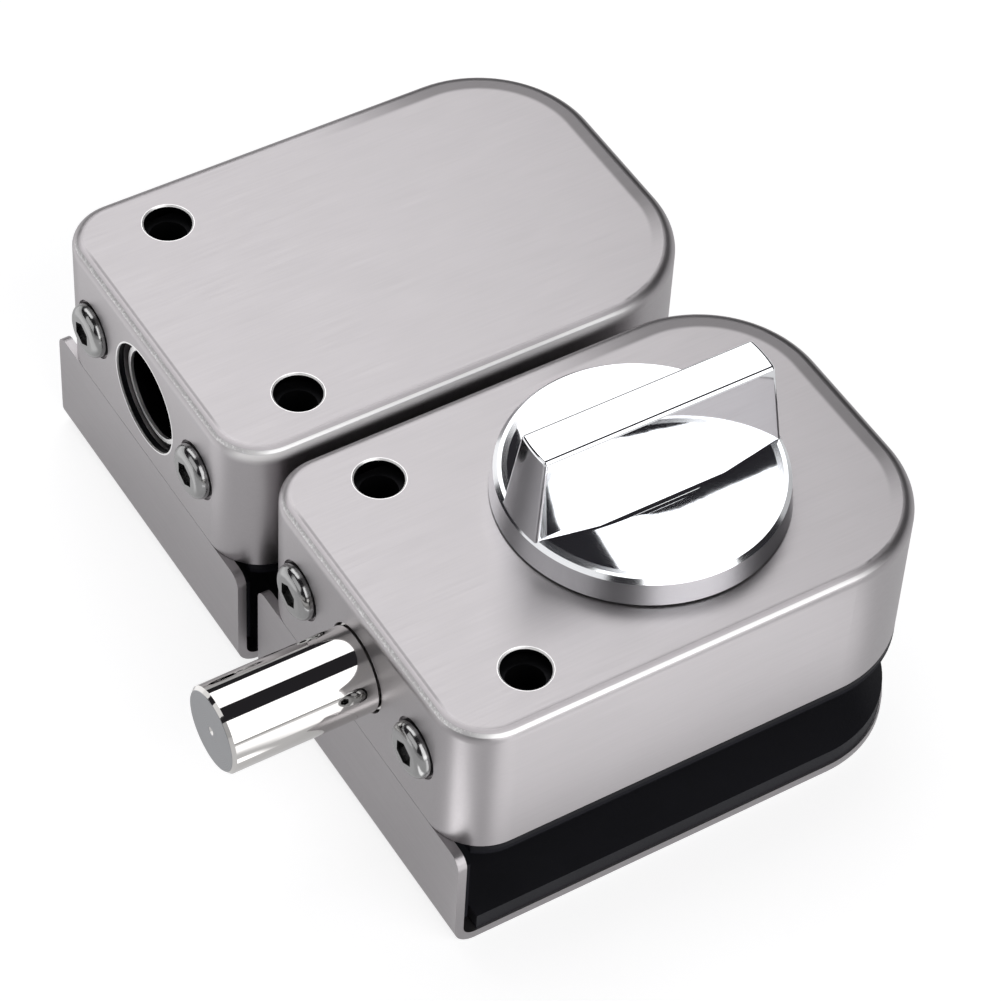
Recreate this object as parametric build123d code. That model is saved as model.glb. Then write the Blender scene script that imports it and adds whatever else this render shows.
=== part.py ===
from build123d import *
import math
import os

# A clamp-on bolt lock for frameless glass doors, in two halves that stand side by side:
# the lock half with a thumb turn and a round bolt, and the receiver half with the strike hole.
# Each half is drawn with its end face at x = 0, its middle plane at y = 0 and the underside
# of its back plate at z = 0, and is then moved to its place. All lengths are in millimetres.

# Cover shell, the same on both halves; its size follows from what it holds
cover_wall = 1.2
cover_head_room = 2.45
cover_side_room = 5.5
cover_far_room = 9.0
top_edge_radius = 2.0
inner_edge_radius = 0.5
near_corner_radius = 8.8
far_corner_radius = 20.0

# Room between the two halves, and how far the receiver stands back
halves_gap = 2.8
receiver_setback = 2.0

# Clamp bracket, one bent sheet
bracket_sheet = 1.5
bracket_bend_radius = 3.6
joggle_height = 1.9
joggle_radius = 0.5
wall_fit = 0.1
seam_gap = 0.08
ear_radius = 2.2
tongue_radius = 3.0

# Rubber in the glass slot and the plate that presses on the glass
glass_space = 14.4
back_pad_thickness = 3.0
back_pad_bend_gap = 0.4
back_pad_margin = 0.3
edge_pad_thickness = 1.2
edge_pad_margin = 1.0
edge_pad_bend_gap = 1.0
pressure_pad_thickness = 0.8
pressure_plate_thickness = 0.9
pressure_front_gap = 0.4
pressure_rest_gap = 0.1

# Base plate that closes the underside of each cover
base_thickness = 2.0
base_fit = 0.15
base_screw_radius = 1.5
base_screw_length = 8.0
base_head_radius = 3.0
base_head_depth = 1.5
base_drive_radius = 1.0
base_drive_depth = 0.8

# Clamp block behind the end wall
block_screw_cover = 4.3
block_rear_cover = 2.9
block_top_room = 1.6
block_edge = 0.8
# Shares of the block's length and width where its base screws stand
block_screw_shares = (0.72, 0.27)

# Clamp screws, reached through the round holes in the cover's top
clamp_screw_inset = 15.8
clamp_screw_side = 9.3
clamp_screw_radius = 3.0
clamp_screw_length = 18.0
clamp_screw_fit = 0.1
clamp_screw_point = 1.0
clamp_hex_across = 3.0
clamp_hex_depth = 3.0
access_hole_radius = 3.9
access_hole_edge = 0.25

# Button screws in the end wall
end_screw_spacing = 34.6
end_screw_radius = 2.5
end_screw_tip_gap = 0.8
end_screw_fit = 0.25
end_head_radius = 4.6
end_head_height = 2.8
end_head_round = 1.6
end_seat_depth = 0.7
end_seat_gap = 0.45
end_hex_across = 3.8
end_hex_depth = 1.9

# Bolt and its bush
bolt_radius = 7.0
bolt_reach = 24.6
bolt_throw = 22.0
bolt_edge = 0.6
bolt_dimple_radius = 0.8
bolt_dimple_depth = 0.5
bolt_groove_start = 0.3
bolt_groove_width = 1.0
bolt_groove_depth = 0.3
bolt_hole_gap = 0.35
bush_fit = 0.05
bush_wall = 1.5
bush_flange_lip = 0.8
bush_flange_thickness = 1.5
bush_base_gap = 1.45
bush_end_gap = 1.0
tang_depth = 9.0
tang_tail_gap = 1.5
tang_width = 12.4
tang_fit = 0.05
tang_pin_radius = 1.5
tang_pin_inset = 4.5

# Slide plate and rack bar, moved with the bolt
slide_thickness = 3.0
slide_rear_margin = 8.0
slide_corner = 3.0
stop_gap = 0.3
slot_fit = 0.3
slot_rear_run = 0.6
rack_height = 4.6
rack_back = 3.2
rack_end_margin = 1.0
rack_rail_gap = 0.64
rivet_count = 3
rivet_radius = 1.0
rivet_head_radius = 1.8
rivet_head_height = 0.8
rivet_end_margin = 4.0

# Rails that carry the slide plate
rail_width = 5.4
rail_lip = 1.4
rail_lip_height = 2.2
rail_fit = 0.3
rail_front_gap = 1.2
rail_end_gap = 1.0
rail_foot_height = 3.0
rail_foot_width = 2.4
rail_screw_inset = 7.0

# Drive pinion
turn_angle = 90.0
teeth_per_turn = 20
spare_teeth = 1
pressure_angle = 20.0
tooth_clearance = 0.1
pinion_face = 3.5
pinion_hub_radius = 7.0
root_share = 1.25

# Spindle, its bushes, clip and spring
spindle_room = 4.9
spindle_radius = 4.0
spindle_flat = 3.0
spindle_knob_depth = 11.0
journal_radius = 3.0
journal_end_gap = 0.3
journal_fit = 0.05
pivot_bush_radius = 5.0
pivot_flange_radius = 7.0
pivot_flange_thickness = 1.0
spindle_fit = 0.05
spindle_bush_radius = 6.0
spindle_flange_radius = 9.0
spindle_flange_thickness = 1.2
clip_thickness = 0.6
clip_radius = 6.2
clip_groove_radius = 3.2
clip_opening = 4.4
clip_gap = 0.2
spring_thickness = 0.4
spring_rise = 0.3
spring_radius = 6.6
spring_bore_radius = 4.3
spring_gap = 0.05

# Thumb turn and the washer under it
knob_radius = 23.0
knob_taper = 2.4
knob_height = 19.5
knob_rim_height = 4.5
knob_rim_width = 1.2
knob_dish_depth = 1.5
# Shares of the dish's radius and depth where its curve passes
dish_shares = (0.6, 0.22)
knob_edge = 0.6
grip_top_width = 6.7
grip_foot_width = 9.8
grip_foot_radius = 2.0
grip_edge = 0.8
grip_end_round = 0.6
grip_end_inset = 0.25
knob_recess_depth = 1.6
knob_skirt = 4.0
knob_boss_radius = 8.0
knob_gap = 0.05
washer_thickness = 0.3
washer_inset = 1.5
washer_bore_gap = 0.5

# Strike bush of the receiver
strike_hole_gap = 2.3
strike_bore_gap = 0.5
strike_tube_wall = 0.8
strike_flange_lip = 0.5
strike_flange_thickness = 1.2
strike_lip = 1.2
strike_end_gap = 1.0

# Run of every cut past the face that it opens
overrun = 1.0

# Heights, up from the underside of the back plate
slot_floor = bracket_sheet + back_pad_thickness
pressure_pad_low = slot_floor + glass_space
pressure_plate_low = pressure_pad_low + pressure_pad_thickness
pressure_plate_top = pressure_plate_low + pressure_plate_thickness
cover_low = pressure_plate_top + pressure_rest_gap
base_top = cover_low + base_thickness
bush_radius = bolt_radius + bush_fit + bush_wall
bush_flange_radius = bush_radius + bush_flange_lip
bolt_height = base_top + bush_base_gap + bush_flange_radius
cover_top = bolt_height + bush_flange_radius + cover_head_room + cover_wall
block_top = cover_top - cover_wall - block_top_room
strike_hole_radius = bolt_radius + strike_hole_gap
strike_bore_radius = bolt_radius + strike_bore_gap
strike_tube_radius = strike_bore_radius + strike_tube_wall
strike_flange_radius = strike_hole_radius + strike_flange_lip

# Places along the lock, in from its end face
tongue_face = cover_wall + wall_fit
tongue_back = tongue_face + bracket_sheet
block_back = clamp_screw_inset + clamp_screw_radius + clamp_screw_fit + block_rear_cover
block_length = block_back - tongue_back
base_inset = cover_wall + base_fit
end_screw_tip = clamp_screw_inset - clamp_screw_radius - clamp_screw_fit - end_screw_tip_gap
bolt_tail = block_back - tang_tail_gap
slide_front = block_back + stop_gap
spindle_inset = slide_front + bolt_throw + spindle_room
slide_rear = spindle_inset + slide_rear_margin
cover_length = slide_rear + bolt_throw + cover_far_room
back_pad_start = bracket_bend_radius + back_pad_bend_gap

# Heights of the slide plate and of what turns above it
slide_low = bolt_height - slide_thickness / 2
slide_top = slide_low + slide_thickness
clip_low = slide_top + clip_gap
pinion_low = clip_low + clip_thickness
pinion_top = pinion_low + pinion_face
spindle_flange_low = cover_top - cover_wall - spindle_flange_thickness
spring_top = spindle_flange_low - spring_gap
hub_top = spring_top - spring_rise - spring_thickness
knob_low = cover_top + washer_thickness + knob_gap

# The pinion's turn gives the bolt's throw, and the rack and rails give the cover's width
pitch_radius = bolt_throw / math.radians(turn_angle)
tooth_module = 2 * pitch_radius / teeth_per_turn
tooth_pitch = math.pi * tooth_module
rack_tip = pitch_radius - tooth_module
rack_root = pitch_radius + root_share * tooth_module
rack_side = rack_root + rack_back
rail_inner = rack_side + rack_rail_gap
rail_outer = rail_inner + rail_width
slide_half_width = rail_inner + rail_lip
cover_width = 2 * (rail_outer + cover_side_room)
clamp_screw_spacing = cover_width - 2 * clamp_screw_side
block_width = clamp_screw_spacing + 2 * block_screw_cover
tongue_width = cover_width - 2 * near_corner_radius
rail_front = block_back + rail_front_gap
rail_corner_run = far_corner_radius - base_inset
rail_corner_side = rail_outer - (cover_width / 2 - far_corner_radius)
rail_corner_reach = math.sqrt(rail_corner_run ** 2 - rail_corner_side ** 2)
rail_rear = cover_length - far_corner_radius + rail_corner_reach - rail_end_gap

# Places of the two halves
halves_offset = (cover_width + halves_gap) / 2
middle_x = (cover_length - bolt_reach) / 2
lock_place = Pos(-middle_x, -halves_offset, 0)
receiver_place = Pos(-middle_x - receiver_setback, halves_offset, 0)


def plan_outline(near, inset, near_radius):
    """Outline in plan with the cover's round far corners, drawn in by inset."""
    side = cover_width / 2 - inset
    far = cover_length - inset
    far_radius = far_corner_radius - inset
    points = [(near, -side), (far, -side), (far, side), (near, side)]
    radii = [near_radius, far_radius, far_radius, near_radius]
    return make_face(FilletPolyline(*points, radius=radii, close=True))


def cover_outline(inset=0.0):
    """Outline of the cover, drawn in by inset."""
    return plan_outline(inset, inset, near_corner_radius - inset)


def cut_outline(inset, front):
    """The cover's outline, cut off straight at front."""
    return cover_outline(inset) & plan_outline(front, inset, 0.0)


def column(outline, low, high):
    """Solid between two heights over an outline drawn at z = 0."""
    return Pos(0, 0, low) * extrude(outline, high - low)


def rod_z(radius, x, y, low, high):
    """Round bar along z."""
    return Pos(x, y, low) * extrude(Circle(radius), high - low)


def rod_x(radius, y, z, low, high):
    """Round bar along x."""
    return Pos(low, y, z) * extrude(Plane.YZ * Circle(radius), high - low)


def ring_z(outer, inner, x, y, low, high):
    """Round ring along z."""
    return Pos(x, y, low) * extrude(Circle(outer) - Circle(inner), high - low)


def mirrored_pair(spacing):
    """The two places either side of the middle plane."""
    return (-spacing / 2, spacing / 2)


def cover_shell():
    """Drawn cover with access holes in its top and seated screw holes in its end wall."""
    outer = column(cover_outline(), cover_low, cover_top)
    outer = fillet(outer.edges().group_by(Axis.Z)[-1], top_edge_radius)
    inner_top = cover_top - cover_wall
    inner = column(cover_outline(cover_wall), cover_low - overrun, inner_top)
    inner = fillet(inner.edges().group_by(Axis.Z)[-1], inner_edge_radius)
    shell = outer - inner
    wide_radius = access_hole_radius + access_hole_edge
    for y in mirrored_pair(clamp_screw_spacing):
        shell -= rod_z(access_hole_radius, clamp_screw_inset, y, inner_top - overrun, cover_top + overrun)
        countersink = Pos(clamp_screw_inset, y, cover_top - access_hole_edge) * Cone(
            access_hole_radius, wide_radius, access_hole_edge,
            align=(Align.CENTER, Align.CENTER, Align.MIN))
        shell -= countersink
    for y in mirrored_pair(end_screw_spacing):
        shell -= rod_x(end_screw_radius + end_screw_fit, y, bolt_height, -overrun, cover_wall + overrun)
        shell -= rod_x(end_head_radius + end_seat_gap, y, bolt_height, -overrun, end_seat_depth)
    return shell


def lock_cover():
    shell = cover_shell()
    shell -= rod_x(bolt_radius + bolt_hole_gap, 0, bolt_height, -overrun, cover_wall + overrun)
    inner_top = cover_top - cover_wall
    return shell - rod_z(spindle_bush_radius, spindle_inset, 0, inner_top - overrun, cover_top + overrun)


def receiver_cover():
    return cover_shell() - rod_x(strike_hole_radius, 0, bolt_height, -overrun, cover_wall + overrun)


def offset_corner(point, turn_from, turn_to, distance):
    """Corner of a strip's second face, across from point, where its direction turns."""
    middle = (turn_from + turn_to) / 2
    reach = distance / math.cos((turn_to - turn_from) / 2)
    return (point[0] + reach * math.sin(middle), point[1] - reach * math.cos(middle))


def bracket_section(wall_top):
    """Section of the bent sheet in the xz plane: back plate, fold and end plate."""
    outline = FilletPolyline(
        (cover_length, 0), (0, 0), (0, wall_top), (bracket_sheet, wall_top),
        (bracket_sheet, bracket_sheet), (cover_length, bracket_sheet),
        radius=[0.0, bracket_bend_radius, 0.0, 0.0, bracket_bend_radius - bracket_sheet, 0.0], close=True)
    return Plane.XZ * make_face(outline)


def tongue_section(wall_top):
    """Section of the tongue, set in by a joggle at the end plate's top to stand behind the cover."""
    joggle_low = wall_top - joggle_height
    foot = joggle_low - bracket_sheet
    lean = math.atan2(tongue_face, joggle_height)
    up = math.radians(90)
    outer = [(0, foot), (0, joggle_low), (tongue_face, wall_top), (tongue_face, block_top)]
    inner = [
        (tongue_back, block_top),
        offset_corner(outer[2], up - lean, up, bracket_sheet),
        offset_corner(outer[1], up, up - lean, bracket_sheet),
        (bracket_sheet, foot),
    ]
    soft = joggle_radius + bracket_sheet
    radii = [0.0, soft, joggle_radius, 0.0, 0.0, soft, joggle_radius, 0.0]
    return Plane.XZ * make_face(FilletPolyline(*(outer + inner), radius=radii, close=True))


def upright_outline(width, height, corner):
    """Rectangle that stands on zero, with its two top corners rounded."""
    half = width / 2
    points = [(-half, 0), (half, 0), (half, height), (-half, height)]
    return make_face(FilletPolyline(*points, radius=[0.0, 0.0, corner, corner], close=True))


def bracket(hole_radius):
    """Clamp bracket; hole_radius is the hole in its tongue for the bolt."""
    wall_top = cover_low - seam_gap
    sheet = extrude(bracket_section(wall_top), cover_width / 2, both=True)
    # Plan of the back plate behind the fold, and end view of the end plate with its rounded ears
    plate = plan_outline(back_pad_start, 0, 0.0)
    fold = Pos(back_pad_start / 2, 0) * Rectangle(back_pad_start, cover_width)
    plan = column(plate + fold, -overrun, block_top + overrun)
    end_view = extrude(Plane.YZ * upright_outline(cover_width, wall_top, ear_radius), cover_length)
    tongue_view = extrude(Plane.YZ * upright_outline(tongue_width, block_top, tongue_radius), cover_length)
    tongue = extrude(tongue_section(wall_top), tongue_width / 2, both=True)
    sheet = (sheet & plan & end_view) + (tongue & tongue_view)
    sheet -= rod_x(hole_radius, 0, bolt_height, 0, tongue_back + overrun)
    for y in mirrored_pair(end_screw_spacing):
        sheet -= rod_x(end_screw_radius + end_screw_fit, y, bolt_height, 0, tongue_back + overrun)
    return sheet


def back_pad():
    """Thick rubber pad on the back plate, which the glass rests on."""
    return column(plan_outline(back_pad_start, back_pad_margin, 0.0), bracket_sheet, slot_floor)


def edge_pad():
    """Rubber strip that the glass edge meets, on the inside of the end plate."""
    low = bracket_bend_radius + edge_pad_bend_gap
    high = cover_low - seam_gap - joggle_height - edge_pad_margin
    width = cover_width - 2 * edge_pad_margin
    strip = Box(edge_pad_thickness, width, high - low, align=(Align.MIN, Align.CENTER, Align.MIN))
    return Pos(bracket_sheet, 0, low) * strip


def pressure_outline():
    return cut_outline(0, tongue_back + pressure_front_gap)


def pressure_plate():
    return column(pressure_outline(), pressure_plate_low, pressure_plate_top)


def pressure_pad():
    return column(pressure_outline(), pressure_pad_low, pressure_plate_low)


def block_screw_places():
    """Where the base plate is screwed to the clamp block."""
    x = tongue_back + block_length * block_screw_shares[0]
    y = block_width * block_screw_shares[1]
    return [(x, -y), (x, y)]


def rail_screw_places():
    """Where the base plate is screwed to the two rails."""
    y = rail_inner + rail_width / 2
    xs = (rail_front + rail_screw_inset, rail_rear - rail_screw_inset)
    return [(x, side * y) for side in (-1, 1) for x in xs]


def base_plate(screw_places, pivot):
    """Flat plate inside the cover's rim, countersunk for its screws."""
    plate = column(cut_outline(base_inset, tongue_back), cover_low, base_top)
    for y in mirrored_pair(clamp_screw_spacing):
        plate -= rod_z(access_hole_radius, clamp_screw_inset, y, cover_low - overrun, base_top + overrun)
    for x, y in screw_places:
        plate -= rod_z(base_screw_radius, x, y, cover_low - overrun, base_top + overrun)
        plate -= screw_cone(x, y)
    if pivot:
        plate -= rod_z(pivot_bush_radius, spindle_inset, 0, cover_low - overrun, base_top + overrun)
    return plate


def screw_cone(x, y):
    """Countersunk head, wide side down."""
    return Pos(x, y, cover_low) * Cone(
        base_head_radius, base_screw_radius, base_head_depth,
        align=(Align.CENTER, Align.CENTER, Align.MIN))


def base_screws(screw_places):
    screws = []
    for x, y in screw_places:
        screw = rod_z(base_screw_radius, x, y, cover_low, cover_low + base_screw_length) + screw_cone(x, y)
        screw -= rod_z(base_drive_radius, x, y, cover_low - overrun, cover_low + base_drive_depth)
        screws.append(screw)
    return Compound(screws)


def clamp_block(flange_radius, flange_thickness, body_radius):
    """Block that takes the clamp screws, the end screws and the bush of the bolt or strike."""
    block = column(Rectangle(block_length, block_width), base_top, block_top)
    block = Pos(tongue_back + block_length / 2, 0, 0) * block
    block = chamfer(block.edges().filter_by(Axis.Z), block_edge)
    for y in mirrored_pair(clamp_screw_spacing):
        block -= rod_z(
            clamp_screw_radius + clamp_screw_fit, clamp_screw_inset, y,
            base_top - overrun, block_top + overrun)
    for y in mirrored_pair(end_screw_spacing):
        block -= rod_x(end_screw_radius, y, bolt_height, tongue_back - overrun, end_screw_tip)
    block -= rod_x(flange_radius, 0, bolt_height, tongue_back - overrun, tongue_back + flange_thickness)
    block -= rod_x(body_radius, 0, bolt_height, tongue_back, block_back + overrun)
    for x, y in block_screw_places():
        block -= rod_z(base_screw_radius, x, y, base_top - overrun, cover_low + base_screw_length)
    return block


def hex_prism(across, depth):
    """Hexagon socket cutter, standing on z = 0."""
    return extrude(RegularPolygon(across / 2, 6, major_radius=False), depth)


def end_screws():
    """Two button head screws, seated in the end wall, through the tongue into the block."""
    head = rod_z(end_head_radius, 0, 0, 0, end_head_height)
    head = fillet(head.edges().group_by(Axis.Z)[-1], end_head_round)
    head -= Pos(0, 0, end_head_height - end_hex_depth) * hex_prism(end_hex_across, end_hex_depth + overrun)
    shank = rod_z(end_screw_radius, 0, 0, end_seat_depth - end_screw_tip, 0)
    screw = Pos(end_seat_depth, 0, 0) * Rotation(0, -90, 0) * (head + shank)
    return Compound([Pos(0, y, bolt_height) * screw for y in mirrored_pair(end_screw_spacing)])


def clamp_screws():
    """Two set screws with a hexagon socket on top and a cone point below."""
    high = pressure_plate_top + clamp_screw_length
    screws = []
    for y in mirrored_pair(clamp_screw_spacing):
        screw = rod_z(clamp_screw_radius, clamp_screw_inset, y, pressure_plate_top, high)
        screw = chamfer(screw.edges().group_by(Axis.Z)[0], clamp_screw_point)
        socket = Pos(clamp_screw_inset, y, high - clamp_hex_depth) * hex_prism(
            clamp_hex_across, clamp_hex_depth + overrun)
        screws.append(screw - socket)
    return Compound(screws)


def flanged_bush_x(flange_radius, flange_thickness, body_radius, bore_radius, front, back):
    """Bush along x whose flange sits against the tongue's inner face."""
    bush = rod_x(flange_radius, 0, bolt_height, tongue_back, tongue_back + flange_thickness)
    bush += rod_x(body_radius, 0, bolt_height, front, back)
    return bush - rod_x(bore_radius, 0, bolt_height, front - overrun, back + overrun)


def bolt_bush():
    return flanged_bush_x(
        bush_flange_radius, bush_flange_thickness, bush_radius, bolt_radius + bush_fit,
        tongue_back, block_back - bush_end_gap)


def strike_bush():
    """Steel liner of the strike hole; its bright lip stands forward inside the hole."""
    return flanged_bush_x(
        strike_flange_radius, strike_flange_thickness, strike_tube_radius, strike_bore_radius,
        tongue_back - strike_lip, block_back - strike_end_gap)


def bolt():
    """Round bolt with a dimpled end, a wiper groove at the end face and a slotted tail."""
    bar = rod_x(bolt_radius, 0, bolt_height, -bolt_reach, bolt_tail)
    bar = chamfer(bar.edges().group_by(Axis.X)[0], bolt_edge)
    groove_end = bolt_groove_width - bolt_groove_start
    groove = rod_x(bolt_radius + overrun, 0, bolt_height, -bolt_groove_start, groove_end)
    groove -= rod_x(bolt_radius - bolt_groove_depth, 0, bolt_height, -overrun, groove_end + overrun)
    bar -= groove
    dimple = Pos(-bolt_reach, 0, bolt_height) * Rotation(0, 90, 0) * Cone(
        bolt_dimple_radius, 0, bolt_dimple_depth, align=(Align.CENTER, Align.CENTER, Align.MIN))
    tail_slot = Box(
        tang_depth + overrun, 2 * bolt_radius, slide_thickness + 2 * tang_fit,
        align=(Align.MIN, Align.CENTER, Align.CENTER))
    bar -= Pos(bolt_tail - tang_depth, 0, bolt_height) * tail_slot
    bar -= rod_z(
        tang_pin_radius, bolt_tail - tang_pin_inset, 0, bolt_height - bolt_radius, bolt_height + bolt_radius)
    return bar - dimple


def bolt_pin():
    """Cross pin through the bolt's tail and the slide plate."""
    half = math.sqrt(bolt_radius ** 2 - tang_pin_radius ** 2)
    return rod_z(
        tang_pin_radius, bolt_tail - tang_pin_inset, 0, bolt_height - half, bolt_height + half)


def rivet_places():
    """Rivets along the solid back of the rack bar."""
    first = slide_front + rack_end_margin + rivet_end_margin
    last = slide_rear - rivet_end_margin
    step = (last - first) / (rivet_count - 1)
    return [(first + step * number, rack_root + rack_back / 2) for number in range(rivet_count)]


def slide_plate():
    """Flat plate with a tang in the bolt's tail and a long slot that straddles the spindle."""
    body = make_face(FilletPolyline(
        (slide_front, -slide_half_width), (slide_rear, -slide_half_width),
        (slide_rear, slide_half_width), (slide_front, slide_half_width),
        radius=slide_corner, close=True))
    tang_start = bolt_tail - tang_depth
    tang_end = slide_front + slide_corner
    body += Pos((tang_start + tang_end) / 2, 0) * Rectangle(tang_end - tang_start, tang_width)
    half_slot = spindle_radius + slot_fit
    slot_start = spindle_inset - bolt_throw
    slot_end = spindle_inset + slot_rear_run
    body -= Pos((slot_start + slot_end) / 2, 0) * Rectangle(slot_end - slot_start, 2 * half_slot)
    body -= Pos(slot_start, 0) * Circle(half_slot)
    body -= Pos(slot_end, 0) * Circle(half_slot)
    body -= Pos(bolt_tail - tang_pin_inset, 0) * Circle(tang_pin_radius)
    for x, y in rivet_places():
        body -= Pos(x, y) * Circle(rivet_radius)
    return column(body, slide_low, slide_top)


def rack_bar():
    """Rack riveted on the slide plate, its teeth facing the spindle."""
    front = slide_front + rack_end_margin
    bar = Pos((front + slide_rear) / 2, (rack_tip + rack_side) / 2) * Rectangle(
        slide_rear - front, rack_side - rack_tip)
    slope = math.tan(math.radians(pressure_angle))
    half_tip = tooth_pitch / 4 + tooth_module * slope
    half_root = tooth_pitch / 4 - root_share * tooth_module * slope
    gap = make_face(Polyline(
        (-half_tip, rack_tip), (half_tip, rack_tip), (half_root, rack_root), (-half_root, rack_root),
        close=True))
    reach = int((spindle_inset - front) / tooth_pitch) + 1
    for number in range(-reach, reach + 1):
        bar -= Pos(spindle_inset + number * tooth_pitch, 0) * gap
    for x, y in rivet_places():
        bar -= Pos(x, y) * Circle(rivet_radius)
    faces = sorted(bar.faces(), key=lambda face: face.area)
    return column(faces[-1], slide_top, slide_top + rack_height)


def rack_rivets():
    top = slide_top + rack_height
    rivets = []
    for x, y in rivet_places():
        shank = rod_z(rivet_radius, x, y, slide_low, top)
        head = rod_z(rivet_head_radius, x, y, top, top + rivet_head_height)
        rivets.append(shank + fillet(head.edges().group_by(Axis.Z)[-1], rivet_head_height / 2))
    return Compound(rivets)


def slide_rail(side):
    """Nylon rail with a groove for the edge of the slide plate; side is -1 or 1."""
    groove_floor = slide_half_width + rail_fit
    low = slide_low - rail_fit
    high = slide_top + rail_fit
    top = high + rail_lip_height
    foot_inner = rail_inner - rail_foot_width
    foot_top = base_top + rail_foot_height
    section = make_face(Polyline(
        (foot_inner, base_top), (rail_outer, base_top), (rail_outer, top), (rail_inner, top),
        (rail_inner, high), (groove_floor, high), (groove_floor, low), (rail_inner, low),
        (rail_inner, foot_top), (foot_inner, foot_top), close=True))
    rail = Pos(rail_front, 0, 0) * extrude(Plane.YZ * section, rail_rear - rail_front)
    for x, y in rail_screw_places():
        if y > 0:
            rail -= rod_z(base_screw_radius, x, y, base_top - overrun, cover_low + base_screw_length)
    return rail if side > 0 else mirror(rail, Plane.XZ)


def involute_point(base_radius, radius, start):
    """Point of an involute at a radius; start is the angle where it leaves the base circle."""
    spread = math.sqrt(max((radius / base_radius) ** 2 - 1, 0))
    angle = start + spread - math.atan(spread)
    return (radius * math.cos(angle), radius * math.sin(angle))


def across(point):
    """The same point on the other side of the x axis."""
    return (point[0], -point[1])


def pinion_tooth():
    """Face of one involute tooth, centred on the x axis and sunk below the root circle."""
    angle = math.radians(pressure_angle)
    base = pitch_radius * math.cos(angle)
    tip = pitch_radius + tooth_module
    root = pitch_radius - root_share * tooth_module
    half = (tooth_pitch / 4 - tooth_clearance) / pitch_radius
    start = -half - (math.tan(angle) - angle)
    low = involute_point(base, base, start)
    middle = involute_point(base, (base + tip) / 2, start)
    high = involute_point(base, tip, start)
    foot_radius = root - tooth_module
    foot = (foot_radius * math.cos(start), foot_radius * math.sin(start))
    return make_face(
        Polyline(across(foot), foot, low)
        + ThreePointArc(low, middle, high)
        + ThreePointArc(high, (tip, 0), across(high))
        + ThreePointArc(across(high), across(middle), across(low))
        + Polyline(across(low), across(foot)))


def drive_pinion():
    """Toothed sector with a hub, on the flat of the spindle."""
    root = pitch_radius - root_share * tooth_module
    step = 360 / teeth_per_turn
    working = round(turn_angle / step)
    numbers = range(-spare_teeth, working + spare_teeth + 1)
    first = 90 + (numbers[0] - 1 / 2) * step
    last = 90 + (numbers[-1] + 1 / 2) * step
    wedge_reach = 2 * pitch_radius
    corners = [(0, 0)]
    for part_share in (0, 1 / 3, 2 / 3, 1):
        angle = math.radians(first + (last - first) * part_share)
        corners.append((wedge_reach * math.cos(angle), wedge_reach * math.sin(angle)))
    wedge = make_face(Polyline(*corners, close=True))
    sector = Circle(root) & wedge
    for number in numbers:
        sector += Rotation(0, 0, 90 + number * step) * pinion_tooth()
    sector += Circle(pinion_hub_radius)
    place = Pos(spindle_inset, 0, 0)
    gear = place * column(sector, pinion_low, pinion_top)
    gear += place * column(Circle(pinion_hub_radius), pinion_top, hub_top)
    return gear - spindle_bar(pinion_low - overrun, hub_top + overrun)


def spindle_bar(low, high):
    """Stretch of the spindle with one flat, which drives what is threaded on it."""
    outline = Circle(spindle_radius)
    outline -= Pos(spindle_flat + spindle_radius, 0) * Rectangle(2 * spindle_radius, 2 * spindle_radius)
    return Pos(spindle_inset, 0, 0) * column(outline, low, high)


def spindle():
    journal_low = cover_low + journal_end_gap
    journal_top = base_top + pivot_flange_thickness + journal_end_gap
    shaft = rod_z(journal_radius, spindle_inset, 0, journal_low, journal_top)
    shaft += rod_z(spindle_radius, spindle_inset, 0, journal_top, clip_low)
    shaft += rod_z(clip_groove_radius, spindle_inset, 0, clip_low, pinion_low)
    return shaft + spindle_bar(pinion_low, knob_low + spindle_knob_depth)


def spindle_clip():
    """Open retaining ring in the spindle's groove, under the pinion."""
    ring = Circle(clip_radius) - Circle(clip_groove_radius)
    ring -= Pos(-clip_radius, 0) * Rectangle(2 * clip_radius, clip_opening)
    return Pos(spindle_inset, 0, 0) * column(ring, clip_low, pinion_low)


def pivot_bush():
    """Lower bearing of the spindle, in the base plate."""
    bush = rod_z(pivot_bush_radius, spindle_inset, 0, cover_low, base_top)
    bush += rod_z(pivot_flange_radius, spindle_inset, 0, base_top, base_top + pivot_flange_thickness)
    bush -= rod_z(
        journal_radius + journal_fit, spindle_inset, 0,
        cover_low - overrun, base_top + pivot_flange_thickness + overrun)
    return bush


def spindle_bush():
    """Upper bearing, with its flange under the cover's top."""
    flange_top = cover_top - cover_wall
    bush = rod_z(spindle_flange_radius, spindle_inset, 0, spindle_flange_low, flange_top)
    bush += rod_z(spindle_bush_radius, spindle_inset, 0, flange_top, cover_top)
    bore = spindle_radius + spindle_fit
    return bush - rod_z(bore, spindle_inset, 0, spindle_flange_low - overrun, cover_top + overrun)


def disc_spring():
    """Conical spring washer that gives the thumb turn its drag."""
    section = make_face(Polyline(
        (spring_bore_radius, spring_rise), (spring_radius, 0),
        (spring_radius, spring_thickness), (spring_bore_radius, spring_rise + spring_thickness),
        close=True))
    return Pos(spindle_inset, 0, hub_top) * revolve(Plane.XZ * section, Axis.Z)


def knob_washer():
    return ring_z(
        knob_radius - washer_inset, knob_boss_radius + washer_bore_gap, spindle_inset, 0,
        cover_top, cover_top + washer_thickness)


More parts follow.
